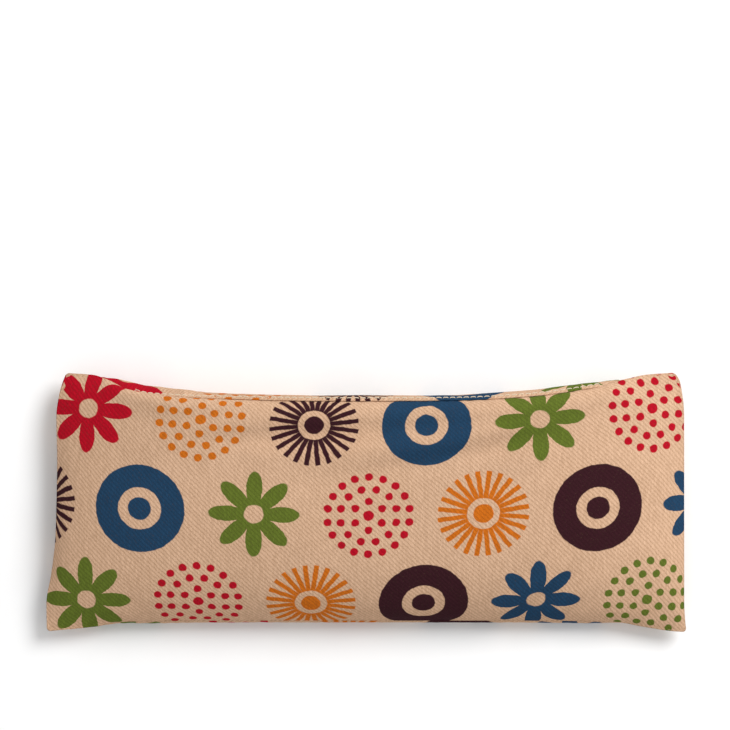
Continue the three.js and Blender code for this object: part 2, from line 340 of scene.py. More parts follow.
def lumps(u, v, wavelength):
    """Smooth seeded noise of about unit size, with the given wavelength on the cloth."""
    size = [max(4, int(round(s / wavelength * 2))) for s in (CUT_LOWER, CUT_WIDTH)]
    return sample(random.normal(size=(size[0] + 1, size[1] + 1)), u, v) * 1.2


cloth = fill_pouch()


# ------------------------------------------------------------------ places on the pouch
def round_corner(u, v):
    """Moves points in the last few millimetres of a corner onto a rounded corner."""
    scale = CORNER / (CUT_LOWER / 2), CORNER / (CUT_WIDTH / 2)
    a = np.maximum((np.abs(u) - (1 - scale[0])) / scale[0], 0)
    b = np.maximum((np.abs(v) - (1 - scale[1])) / scale[1], 0)
    both = (a > 0) & (b > 0)
    factor = np.where(both, np.maximum(a, b) / np.maximum(np.hypot(a, b), 1e-9), 1)
    new_u = np.where(both, 1 - scale[0] + a * factor * scale[0], np.abs(u))
    new_v = np.where(both, 1 - scale[1] + b * factor * scale[1], np.abs(v))
    return np.sign(u) * new_u, np.sign(v) * new_v


def inset(u, v, distance):
    """The same place drawn in from the seam line by a distance along the cloth."""
    limit_u = 1 - distance / (CUT_LOWER / 2)
    limit_v = 1 - distance / (CUT_WIDTH / 2)
    return round_corner(np.clip(u, -limit_u, limit_u), np.clip(v, -limit_v, limit_v))


# Step in u and v for taking slopes.
SLOPE_STEP = 0.01


def unit(a):
    return a / np.maximum(np.linalg.norm(a, axis=-1, keepdims=True), 1e-9)


def membrane_normal(u, v):
    e = SLOPE_STEP
    du = membrane(np.clip(u + e, -1, 1), v) - membrane(np.clip(u - e, -1, 1), v)
    dv = membrane(u, np.clip(v + e, -1, 1)) - membrane(u, np.clip(v - e, -1, 1))
    return unit(np.cross(du, dv))


def blur(values, width):
    """Moving average along the first axis, ends held."""
    width = int(width) // 2 * 2 + 1
    pad = np.pad(values, ((width // 2,) * 2,) + ((0, 0),) * (values.ndim - 1), mode="edge")
    total = np.cumsum(np.concatenate([pad[:1] * 0, pad]), axis=0)
    return (total[width:] - total[:-width]) / width


def closing(u):
    """1 along the closing seam, falling to 0 at its two ends."""
    x = np.abs(sample(cloth[0], u, np.full_like(u, 1.0))[..., 0])
    t = np.clip((CLOSING_HALF - x) / CLOSING_TAPER, 0, 1)
    return t * t * (3 - 2 * t)


# How far down the front the lip's slope is read, and over how many points it is evened.
LIP_REACH, LIP_BLUR = 3.0, 21


def lip_frame(u):
    """Seam point, direction down the front under the lip, and outward normal."""
    one = np.ones_like(u)
    seam = sample(cloth[0], u, one)
    inside = sample(cloth[0], u, one * (1 - LIP_REACH / (CUT_WIDTH / 2)))
    ahead = sample(cloth[0], np.clip(u + SLOPE_STEP, -1, 1), one)
    behind = sample(cloth[0], np.clip(u - SLOPE_STEP, -1, 1), one)
    down = unit(blur(inside - seam, LIP_BLUR))
    normal = unit(np.cross(unit(ahead - behind), -down))
    return seam, down, normal


def stitch_dent(x):
    """1 at each hole of the closing stitch, falling to 0 along the dashes."""
    from_hole = 1 - np.abs((x / STITCH) % 1.0 - 0.5) * 2
    return np.exp(-((from_hole * STITCH / 2 / STITCH_DENT) ** 2))


# ------------------------------------------------------------------ panels
# Distance from the lower seam, and the size of the mesh's rows there.
ROW_SIZES = [0, 4, 12, 90, 97, CUT_WIDTH], [0.45, 0.5, 1.8, 1.8, 0.5, 0.33]
FINE_COLUMNS = 470
# The panel's own grid stops this far from the seam line, and the loops take over.
BORDER = 0.5
# Loops of the turned-in allowance: distance from the seam line, and how far each panel's
# allowance lies from the surface between the two.
INSETS = [0.02, 0.10, 0.40, 1.0, 1.7, 2.6, 3.8, 5.1, ALLOWANCE]
SPREADS = [0.34, 0.22, 0.19, 0.19, 0.19, 0.19, 0.20, 0.21, 0.22]
# Closing seam, loop by loop: distance down the lip and height in layers of cloth.
BACK_FOLD = [
    (0.3, 4.0), (0.7, 3.9), (1.2, 2.75), (1.45, 1.8), (1.2, 1.05), (0.75, 2.6), (0.3, 3.0),
]
FRONT_FOLD = [
    (-0.15, 0.2), (-0.15, 0.8), (0.1, 1.0), (0.3, 1.0), (0.48, 1.5), (0.3, 2.0), (0.0, 2.0),
]
# The last two loops lie loose inside: distance in, and depth in layers for each panel.
LOOSE_INSETS, LOOSE_DEPTHS = (1.8, 4.2), (2.2, 1.2)
# Part of the fold's height left where the closing seam has faded out.
FOLD_END = 0.15


def fold_scale(lap):
    return np.interp(lap, [0, 1], [FOLD_END, 1])


def fine_rows():
    """Row positions from -1 to 1, close together at both seams."""
    where = np.linspace(0, CUT_WIDTH, 2000)
    size = np.interp(where, *ROW_SIZES)
    count = np.concatenate([[0], np.cumsum(np.diff(where) / size[1:])])
    rows = np.interp(np.linspace(0, count[-1], int(count[-1]) + 1), count, where)
    return rows / CUT_WIDTH * 2 - 1


def border_loop(nu, nv):
    """Grid indices once round the border, anticlockwise from the lower left corner."""
    i = np.concatenate([
        np.arange(nu - 1), np.full(nv - 1, nu - 1),
        np.arange(nu - 1, 0, -1), np.zeros(nv - 1, int),
    ])
    j = np.concatenate([
        np.zeros(nu - 1, int), np.arange(nv - 1),
        np.full(nu - 1, nv - 1), np.arange(nv - 1, 0, -1),
    ])
    return i, j


def cell_quads(number):
    """One quad for each cell of a grid of vertex numbers."""
    corners = number[:-1, :-1], number[1:, :-1], number[1:, 1:], number[:-1, 1:]
    return np.stack(corners, -1).reshape(-1, 4)


def grid_faces(nu, nv, loops):
    """Quads of a grid with loops of vertices added outside its border."""
    number = np.arange(nu * nv).reshape(nu, nv)
    quads = [cell_quads(number)]
    i, j = border_loop(nu, nv)
    ring = number[i, j]
    for k in range(loops):
        outer = nu * nv + k * len(i) + np.arange(len(i))
        quads.append(np.stack([ring, outer, np.roll(outer, -1), np.roll(ring, -1)], -1))
        ring = outer
    return np.concatenate(quads), ring


def vertex_normals(points, quads):
    a, b, c, d = (points[quads[:, n]] for n in range(4))
    face = np.cross(c - a, d - b)
    total = np.zeros_like(points)
    for n in range(4):
        np.add.at(total, quads[:, n], face)
    return unit(total)


def add_object(name, points, faces, material, uv=None):
    mesh = bpy.data.meshes.new(name)
    mesh.from_pydata((points * MM).tolist(), [], faces)
    if uv is not None:
        layer = mesh.uv_layers.new(name="cut")
        index = np.empty(len(mesh.loops), int)
        mesh.loops.foreach_get("vertex_index", index)
        layer.data.foreach_set("uv", uv[index].ravel())
    mesh.materials.append(material)
    mesh.shade_smooth()
    mesh.update()
    obj = bpy.data.objects.new(name, mesh)
    bpy.context.scene.collection.objects.link(obj)
    return obj


def add_shell(name, points, quads, rim, thickness, material, uv, outward):
    """Cloth: the middle surface thickened to both sides and closed at its cut edge."""
    if outward < 0:
        quads = quads[:, ::-1]
    normal = vertex_normals(points, quads)
    outer, inner = points + normal * thickness / 2, points - normal * thickness / 2
    count = len(points)
    after = np.roll(rim, -1)
    edge = np.stack([rim, rim + count, after + count, after], -1)
    if outward < 0:
        edge = edge[:, ::-1]
    faces = np.concatenate([quads, quads[:, ::-1] + count, edge])
    return add_object(
        name, np.concatenate([outer, inner]), faces.tolist(), material, np.concatenate([uv, uv])
    )


def cut_uv(flat):
    """Flat cloth position to UV, the middle of the cloth at 0.5."""
    return flat / UV_SPAN + 0.5


# Outer panel surface: sizes of its soft unevenness, and of the puckers along the seams.
SWELL, SWELL_WAVE, DIMPLE, DIMPLE_WAVE, SEAM_FADE = 0.16, 19, 0.07, 8, 6
PUCKER, PUCKER_PITCH, PUCKER_REACH = 0.16, 5.6, 3.2
# How the back panel climbs over the folded edges, and is pressed down by the stitch.
CLIMB_LAYERS, CLIMB_REACH = 3.7, 3.6
PRESS, PRESS_HOLE, PRESS_REACH = 0.10, 0.22, 0.7
DIP, DIP_HOLE, DIP_REACH = 0.06, 0.2, 0.6
# Loops that stand higher than this are the top ones, which the stitch dents.
TOP_LAYERS = 3.4
# Unevenness of the lapped edge's reach.
EDGE_SWELL, EDGE_WAVE = 0.08, 9


def panel_surface(side, u, v, flat, lap, seam_normal):
    """Middle surface of an outer panel up to its border."""
    points = sample(cloth[side], u, v)
    half = flat_cut(np.ones_like(u), v)[..., 0]
    to_side = CUT_WIDTH / 2 * (1 - np.abs(v))
    to_end = half * (1 - np.abs(u))
    near = np.minimum(to_side, to_end)
    out = unit(np.cross(np.gradient(points, axis=0), np.gradient(points, axis=1)))
    if side:
        out = -out
    body = 1 - np.exp(-near / SEAM_FADE)
    relief = body * (SWELL * lumps(u, v, SWELL_WAVE) + DIMPLE * lumps(u, v, DIMPLE_WAVE))
    # Small puckers where the stitches draw the seam in.
    run = np.where(to_side < to_end, flat[..., 0], flat[..., 1])
    wander = lumps(u, v, 30)
    ripple = np.cos(2 * np.pi * run / PUCKER_PITCH + 2.2 * wander)
    ripple = ripple * (0.5 + 0.5 * lumps(u, v, 22))
    fade = np.exp(-((near / PUCKER_REACH) ** 1.3)) * np.clip(near / 0.8, 0, 1)
    relief += PUCKER * ripple * fade
    points = points + out * relief[..., None]
    if not side:
        return points
    upper = (v > 0) * lap[:, None]
    climb = CLIMB_LAYERS * LAYER * np.exp(-((to_side / CLIMB_REACH) ** 1.5)) * upper
    points = points + seam_normal[:, None] * climb[..., None]
    press = PRESS + PRESS_HOLE * stitch_dent(points[..., 0])
    press = press * np.exp(-(((to_side + STITCH_DOWN) / PRESS_REACH) ** 2)) * upper
    points = points - seam_normal[:, None] * press[..., None]
    points[..., 2] = np.maximum(points[..., 2], TWILL / 2 + FLOOR_GAP)
    return points


def lapped_edge(side, k, u, v, lap, frame):
    """Where loop k of the allowance lies along the closing seam."""
    seam, down, normal = frame
    fold = BACK_FOLD if side else FRONT_FOLD
    if k >= len(fold):
        loose = k - len(fold)
        inner_v = np.full_like(u, 1 - LOOSE_INSETS[loose] / (CUT_WIDTH / 2))
        under = sample(cloth[1], u, inner_v)
        du = sample(cloth[1], np.clip(u + SLOPE_STEP, -1, 1), inner_v) - under
        dv = sample(cloth[1], u, inner_v - SLOPE_STEP) - under
        return under - unit(np.cross(du, dv)) * (LOOSE_DEPTHS[side] * LAYER)
    along, layers = fold[k]
    stand = layers * LAYER * fold_scale(lap)
    reach = along * np.clip(lap * 1.3, 0, 1)
    if side:
        wave = EDGE_SWELL * lumps(u, v, EDGE_WAVE)
        reach = reach * (1 + wave * (along > 1))
        dip = DIP_HOLE * stitch_dent(seam[:, 0]) + DIP
        dip = dip * np.exp(-(((along - STITCH_DOWN) / DIP_REACH) ** 2))
        stand = stand - dip * lap * (layers > TOP_LAYERS)
    return seam + down * reach[:, None] + normal * stand[:, None]


def outer_panel(side, name, material):
    """side 0 is the front panel, 1 the back panel."""
    edge_u, edge_v = 1 - BORDER / (CUT_LOWER / 2), 1 - BORDER / (CUT_WIDTH / 2)
    columns = np.linspace(-edge_u, edge_u, FINE_COLUMNS + 1)
    u, v = np.meshgrid(columns, fine_rows() * edge_v, indexing="ij")
    nu, nv = u.shape
    ru, rv = round_corner(u, v)
    flat = flat_cut(ru, rv)
    top_u, top_v = ru[:, -1], rv[:, -1]
    lap, frame_here = closing(top_u), lip_frame(top_u)
    points = panel_surface(side, ru, rv, flat, lap, frame_here[2])

    # The loops start on the seam line itself and run inwards, under the panel.
    i, j = border_loop(nu, nv)
    lu, lv = u[i, j], v[i, j]
    grow_u = np.where(np.isin(i, [0, nu - 1]), np.sign(lu), lu)
    grow_v = np.where(np.isin(j, [0, nv - 1]), np.sign(lv), lv)
    away = unit(np.stack([grow_u * (np.abs(grow_u) >= 1), grow_v * (np.abs(grow_v) >= 1)], -1))
    sign = -1 if side else 1
    on_top = j == nv - 1
    where = i[on_top]
    share = lap[where][:, None]
    loops, cut = [], []
    for k, (distance, spread) in enumerate(zip(INSETS, SPREADS)):
        pu, pv = inset(grow_u, grow_v, distance)
        ring = membrane(pu, pv) + membrane_normal(pu, pv) * (sign * spread)
        lapped = lapped_edge(side, k, top_u, top_v, lap, frame_here)
        ring[on_top] = ring[on_top] * (1 - share) + lapped[where] * share
        loops.append(ring)
        cut.append(flat_cut(grow_u, grow_v) + away * distance)
    middle = np.concatenate([points.reshape(-1, 3), *loops])
    uv = np.concatenate([flat.reshape(-1, 2), *cut])
    quads, rim = grid_faces(nu, nv, len(loops))
    return add_shell(name, middle, quads, rim, TWILL, material, cut_uv(uv), sign)


# ------------------------------------------------------------------ inner bag and seeds
def inner_point(side, u, v, drawn_in, depth):
    """A point of a smaller pouch inside the outer one, u and v from -1 to 1."""
    share_u, share_v = 1 - drawn_in / (CUT_LOWER / 2), 1 - drawn_in / (CUT_WIDTH / 2)
    pu, pv = u * share_u, v * share_v
    e = SLOPE_STEP
    here = sample(cloth[side], pu, pv)
    du = sample(cloth[side], pu + e, pv) - sample(cloth[side], pu - e, pv)
    dv = sample(cloth[side], pu, pv + e) - sample(cloth[side], pu, pv - e)
    out = unit(np.cross(du, dv)) * (-1 if side else 1)
    base = membrane(pu, pv)
    edge = np.minimum(
        (1 - np.abs(u)) * share_u * CUT_LOWER / 2, (1 - np.abs(v)) * share_v * CUT_WIDTH / 2
    )
    rise = np.sqrt(np.clip(1 - (1 - np.minimum(edge / BAG_ROUND, 1)) ** 2, 0, 1))
    return base + (here - out * depth - base) * rise[..., None]


def bag_grid(columns, rows):
    ease = np.sin(np.linspace(-1, 1, rows + 1) * math.pi / 2)
    u = np.linspace(-1, 1, columns + 1)
    u = u * 0.85 + 0.15 * np.sin(u * math.pi / 2)
    return np.meshgrid(u, ease, indexing="ij")


def bag_panel(side, name, material):
    """Half of the inner bag: plain cotton, its allowances turned in."""
    u, v = bag_grid(150, 64)
    sign = -1 if side else 1
    points = inner_point(side, u, v, BAG_INSET, BAG_DEPTH)
    nu, nv = u.shape
    points[..., 2] += sign * MUSLIN_THICK * 0.6
    points[..., 2] += BAG_SWELL * lumps(u, v, BAG_WAVE)
    i, j = border_loop(nu, nv)
    loops, cut = [], []
    share_u, share_v = 1 - BAG_INSET / (CUT_LOWER / 2), 1 - BAG_INSET / (CUT_WIDTH / 2)
    half = np.array([CUT_LOWER / 2 * share_u, CUT_WIDTH / 2 * share_v])
    flat = np.stack([u * half[0], v * half[1]], -1)
    sideways = np.stack([
        np.sign(u[i, j]) * np.isin(i, [0, nu - 1]), np.sign(v[i, j]) * np.isin(j, [0, nv - 1]),
    ], -1)
    for distance in BAG_ALLOWANCE:
        pu, pv = u[i, j] * share_u, v[i, j] * share_v
        pu, pv = inset(pu, pv, BAG_INSET + distance)
        ring = membrane(pu, pv)
        ring[:, 2] += sign * MUSLIN_THICK * 0.62
        loops.append(ring)
        cut.append(flat[i, j] + sideways * distance)
    middle = np.concatenate([points.reshape(-1, 3), *loops])
    uv = np.concatenate([flat.reshape(-1, 2), *cut])
    quads, rim = grid_faces(nu, nv, len(loops))
    return add_shell(name, middle, quads, rim, MUSLIN_THICK, material, cut_uv(uv), sign)


def seed_bed(name, material):
    """The seeds settled into one bed, its face bumpy with single seeds."""
    u, v = bag_grid(240, 100)
    nu, nv = u.shape
    border = np.zeros(u.shape, bool)
    border[[0, -1]] = border[:, [0, -1]] = True
    halves = []
    for side in (0, 1):
        points = inner_point(side, u, v, SEED_INSET, SEED_DEPTH)
        normal = unit(np.cross(np.gradient(points, axis=0), np.gradient(points, axis=1)))
        depth = np.abs(lumps(u, v, SEED_PITCH)) * SEED_RELIEF + 0.1
        depth[border] = 0
        halves.append(points - normal * (depth * (-1 if side else 1))[..., None])
    # The two halves share the vertices of the border.
    halves[1][border] = halves[0][border]
    upper = np.arange(nu * nv).reshape(nu, nv)
    lower = np.where(border, upper, upper + nu * nv)
    faces = np.concatenate([cell_quads(upper), cell_quads(lower)[:, [0, 3, 2, 1]]])
    points = np.concatenate([h.reshape(-1, 3) for h in halves])
    used, faces = np.unique(faces, return_inverse=True)
    return add_object(name, points[used], faces.reshape(-1, 4).tolist(), material)


# ------------------------------------------------------------------ threads
def tube(name, path, radius, material, sides=8):
    """A thread of round section along a path, closed at both ends."""
    ahead = unit(np.gradient(path, axis=0))
    up = unit(np.cross(ahead, np.cross(np.broadcast_to([0, 0, 1.0], ahead.shape), ahead)))
    across = np.cross(ahead, up)
    angle = np.arange(sides) / sides * 2 * math.pi
    cos, sin = np.cos(angle)[None, :, None], np.sin(angle)[None, :, None]
    ring = cos * up[:, None] + sin * across[:, None]
    points = (path[:, None] + radius * ring).reshape(-1, 3)
    count = len(path)
    number = np.arange(count * sides).reshape(count, sides)
    beside = np.roll(number, -1, axis=1)
    quads = np.stack([number[:-1], number[1:], beside[1:], beside[:-1]], -1).reshape(-1, 4)
    ends = [number[0].tolist(), number[-1][::-1].tolist()]
    run = np.concatenate([[0], np.cumsum(np.linalg.norm(np.diff(path, axis=0), axis=1))])
    uv = np.stack(np.broadcast_arrays(run[:, None], (np.arange(sides) / sides)[None]), -1)
    return add_object(name, points, quads.tolist() + ends, material, uv.reshape(-1, 2))


def stitched(points, offset, depth, low):
    """A path over the places of one stitch line: up between holes, down at each."""
    stitches = np.linspace(0, (len(points) - 1) / STITCH_STEPS, len(points))
    wave = np.abs(np.sin(np.pi * stitches))
    level = low + (depth - low) * np.minimum(wave * 1.6, 1) ** 0.6
    return points + offset * level[:, None]


def closing_path(level):
    """The closing stitch: on the lip for the needle thread, under it for the bobbin."""
    u = np.linspace(-1, 1, 801)
    seam, down, normal = lip_frame(u)
    last = math.floor((CLOSING_HALF - 1) / STITCH)
    x = np.linspace(-last * STITCH, last * STITCH, 2 * last * STITCH_STEPS + 1)
    place, away, slide = (
        np.stack([np.interp(x, seam[:, 0], values[:, k]) for k in range(3)], -1)
        for values in (seam, normal, down)
    )
    lap = closing(np.interp(x, seam[:, 0], u))
    face = (NEEDLE_LAYERS * LAYER * fold_scale(lap) - DIP * lap) + TWILL / 2
    if level > 0:
        top, low = face + THREAD * 0.75, face - SEAM_ROOM
    else:
        top, low = (layers * LAYER for layers in BOBBIN_LAYERS)
    wave = np.abs(np.sin(np.pi * x / STITCH))
    height = low + (top - low) * np.clip((wave - 0.3) * 2.6, 0, 1) ** 0.7
    return place + slide * (STITCH_DOWN * lap[:, None]) + away * height[:, None]


def seam_path(drawn_in, level, depth, opening):
    """The seam's thread round the pouch, from one end of the opening to the other."""
    edge_u = np.array([-opening, -1, -1, 1, 1, opening])
    edge_v = np.array([1, 1, -1, -1, 1, 1])
    sizes = np.hypot(np.diff(edge_u) * CUT_LOWER / 2, np.diff(edge_v) * CUT_WIDTH / 2)
    run = np.concatenate([[0], np.cumsum(sizes)])
    count = int(run[-1] / STITCH) * STITCH_STEPS
    at = np.linspace(0, run[-1], count + 1)
    u, v = np.interp(at, run, edge_u), np.interp(at, run, edge_v)
    pu, pv = inset(u, v, drawn_in)
    place, away = membrane(pu, pv), membrane_normal(pu, pv) * level
    room = ((sample(cloth[0 if level > 0 else 1], pu, pv) - place) * away).sum(-1)
    # The stitches lie flat on the turned-in cloth and well under the outer cloth.
    depth = np.clip(room - SEAM_ROOM, SEAM_LOW, depth)
    return stitched(place, away, depth, SEAM_LOW)


def bag_closing_path(level):
    """The short stitch that shuts the inner bag after filling."""
    share = BAG_CLOSING / (CUT_LOWER / 2)
    count = int(2 * BAG_CLOSING / STITCH) * STITCH_STEPS
    u = np.linspace(-share, share, count + 1)
    pu, pv = inset(u, np.ones_like(u), BAG_CLOSING_INSET)
    away = membrane_normal(pu, pv) * level
    return stitched(membrane(pu, pv), away, SEAM_DEPTH, SEAM_LOW)


# ------------------------------------------------------------------ materials
class Nodes:
    """A new material whose nodes are written as arithmetic."""

    def __init__(self, name):
        self.material = bpy.data.materials.new(name)
        self.material.use_nodes = True
        self.tree = self.material.node_tree
        self.shader = self.tree.nodes["Principled BSDF"]

    def add(self, kind, **settings):
        node = self.tree.nodes.new(kind)
        for key, value in settings.items():
            setattr(node, key, value)
        return node

    def put(self, socket, value):
        if isinstance(value, bpy.types.NodeSocket):
            self.tree.links.new(value, socket)
        else:
            socket.default_value = value

    def math(self, operation, *values):
        node = self.add("ShaderNodeMath", operation=operation)
        for socket, value in zip(node.inputs, values):
            self.put(socket, value)
        return node.outputs[0]

    def vector(self, operation, *values):
        node = self.add("ShaderNodeVectorMath", operation=operation)
        for socket, value in zip(node.inputs, values):
            self.put(socket, value)
        return node.outputs["Value" if operation in ("LENGTH", "DOT_PRODUCT") else 0]

    def total(self, start, *terms):
        """start plus each value times its weight."""
        for value, weight in terms:
            start = self.math("MULTIPLY_ADD", value, weight, start)
        return start

    def scale(self, vector, factor):
        node = self.add("ShaderNodeVectorMath", operation="SCALE")
        self.put(node.inputs[0], vector)
        self.put(node.inputs["Scale"], factor)
        return node.outputs[0]

    def join(self, x, y, z=0.0):
        node = self.add("ShaderNodeCombineXYZ")
        for socket, value in zip(node.inputs, (x, y, z)):
            self.put(socket, value)
        return node.outputs[0]

    def split(self, vector):
        node = self.add("ShaderNodeSeparateXYZ")
        self.put(node.inputs[0], vector)
        return node.outputs

    def mix(self, factor, a, b, data_type="RGBA", blend="MIX"):
        node = self.add("ShaderNodeMix", data_type=data_type, clamp_factor=True)
        if data_type == "RGBA":
            node.blend_type = blend
        first = {"RGBA": 6, "VECTOR": 4, "FLOAT": 2}[data_type]
        self.put(node.inputs[0], factor)
        for k, value in enumerate((a, b)):
            if data_type == "RGBA" and isinstance(value, tuple):
                value = (*value, 1)
            self.put(node.inputs[first + k], value)
        return node.outputs[{"RGBA": 2, "VECTOR": 1, "FLOAT": 0}[data_type]]

    def ramp(self, value, low, high, out_low=0.0, out_high=1.0):
        node = self.add("ShaderNodeMapRange", clamp=True, interpolation_type="SMOOTHSTEP")
        for socket, item in zip(node.inputs, (value, low, high, out_low, out_high)):
            self.put(socket, item)
        return node.outputs[0]

    def noise(self, place, scale, detail=2.0, roughness=0.5):
        node = self.add("ShaderNodeTexNoise", noise_dimensions="3D")
        self.put(node.inputs["Vector"], place)
        self.put(node.inputs["Scale"], scale)
        self.put(node.inputs["Detail"], detail)
        self.put(node.inputs["Roughness"], roughness)
        return node.outputs[0]

    def chance(self, x, y=0.0, z=0.0):
        """One random number from 0 to 1 for each whole-number x, y, z."""
        node = self.add("ShaderNodeTexWhiteNoise", noise_dimensions="3D")
        self.put(node.inputs["Vector"], self.join(x, y, z))
        return node.outputs["Value"]

    def bump(self, height, distance, strength):
        node = self.add("ShaderNodeBump")
        self.put(node.inputs["Height"], height)
        self.put(node.inputs["Distance"], distance)
        self.put(node.inputs["Strength"], strength)
        return node.outputs[0]

    def finish(self, colour, roughness, normal, **constants):
        self.put(self.shader.inputs["Base Color"], colour)
        self.put(self.shader.inputs["Roughness"], roughness)
        if normal is not None:
            self.put(self.shader.inputs["Normal"], normal)
        for key, value in constants.items():
            self.shader.inputs[key.replace("_", " ")].default_value = value
        return self.material


# Pitch of the yarns, millimetres of cloth in one unit of UV, and linear colours.
YARN = 0.475
UV_SPAN = 300.0
GROUND = (0.740, 0.485, 0.325)
# GROUND_DARK is the ground in the weave's painted shade and on dark yarns.
GROUND_DARK = (0.430, 0.262, 0.158)
RED = (0.405, 0.005, 0.016)
ORANGE = (0.520, 0.130, 0.010)
BLUE = (0.015, 0.047, 0.097)
FERN = (0.105, 0.140, 0.020)
PLUM = (0.036, 0.010, 0.014)
CREAM, WHITE = (0.76, 0.63, 0.46), (0.80, 0.79, 0.74)
MUSLIN_COLOUR, MUSLIN_PITCH = (0.78, 0.74, 0.64), (0.55, 0.62)
SEED_DARK, SEED_LIGHT = (0.16, 0.065, 0.024), (0.30, 0.14, 0.055)
THREAD_PITCH, SEED_CELLS = 0.9, 420.0

# The print is a plain geometric repeat in place of the photographed one: four simple
# rounds in a staggered grid, in millimetres on the flat cloth. Only its colours and the
# broad kinds of round, dotted, rayed, solid and petalled, are those in the photograph.
INKS = (RED, BLUE, ORANGE, FERN, PLUM)
SPOT_PITCH, SPOT_ROWS, SPOT_RADIUS = 44.0, 38.0, 17.5
BACK_SHIFT = 15.0
# Half the cloth's width with its allowances, rounded up.
CLOTH_HALF = 60
# Softness of a printed edge and a distance beyond every round, in shares of the radius.
INK_EDGE, FAR = 0.012, 9.0
# How far printed edges wander, and the scale of that noise.
WANDER, WANDER_SCALE = 0.8, 0.4


def spot_repeat(shift):
    """Kind, centre and ink of each round whose edge reaches the cloth."""
    spots = []
    for row in range(-2, 3):
        for column in range(-4, 5):
            x = (column + 0.5 * (row % 2)) * SPOT_PITCH + shift
            y = row * SPOT_ROWS
            if abs(x) < HALF_X + SPOT_RADIUS and abs(y) < CLOTH_HALF + SPOT_RADIUS:
                spots.append(((column + 2 * row) % 4, x, y, INKS[(2 * column + row) % 5]))
    return spots


def from_spoke(n, turn, radius, count):
    """Distance from the nearest of so many even spokes."""
    offset = n.math("SUBTRACT", n.math("FRACT", n.math("MULTIPLY", turn, float(count))), 0.5)
    return n.math("MULTIPLY", n.math("MULTIPLY", offset, 2 * math.pi / count), radius)


def inked(n, value, limit, soft=INK_EDGE):
    """1 where value is well under limit."""
    return n.math("SUBTRACT", 1.0, n.ramp(value, limit - soft, limit + soft))


def dots_pattern(n, turn, radius):
    """Dots in three rings round a middle dot."""
    ink = inked(n, radius, 0.12)
    for count, middle in ((6, 0.34), (12, 0.63), (18, 0.91)):
        width = from_spoke(n, turn, radius, count)
        away = n.vector("LENGTH", n.join(n.math("SUBTRACT", radius, middle), width))
        ink = n.math("MAXIMUM", ink, inked(n, away, 0.09))
    return ink


def rays_pattern(n, turn, radius):
    """Even straight rays round a middle dot."""
    width = from_spoke(n, turn, radius, 24)
    ray = inked(n, n.math("ABSOLUTE", width), 0.055)
    band = inked(n, n.math("ABSOLUTE", n.math("SUBTRACT", radius, 0.68)), 0.32)
    return n.math("MAXIMUM", n.math("MULTIPLY", ray, band), inked(n, radius, 0.22))


def ring_pattern(n, turn, radius):
    """A broad ring with a dot in it."""
    band = inked(n, n.math("ABSOLUTE", n.math("SUBTRACT", radius, 0.74)), 0.26)
    return n.math("MAXIMUM", band, inked(n, radius, 0.26))


def petals_pattern(n, turn, radius):
    """Eight plain petals round an open middle."""
    wave = n.math("ABSOLUTE", n.math("COSINE", n.math("MULTIPLY", turn, 8 * math.pi)))
    share = n.math("DIVIDE", radius, n.math("MULTIPLY_ADD", wave, 0.62, 0.38))
    return n.math("MULTIPLY", inked(n, share, 1.0, 0.02), n.ramp(radius, 0.20, 0.23))


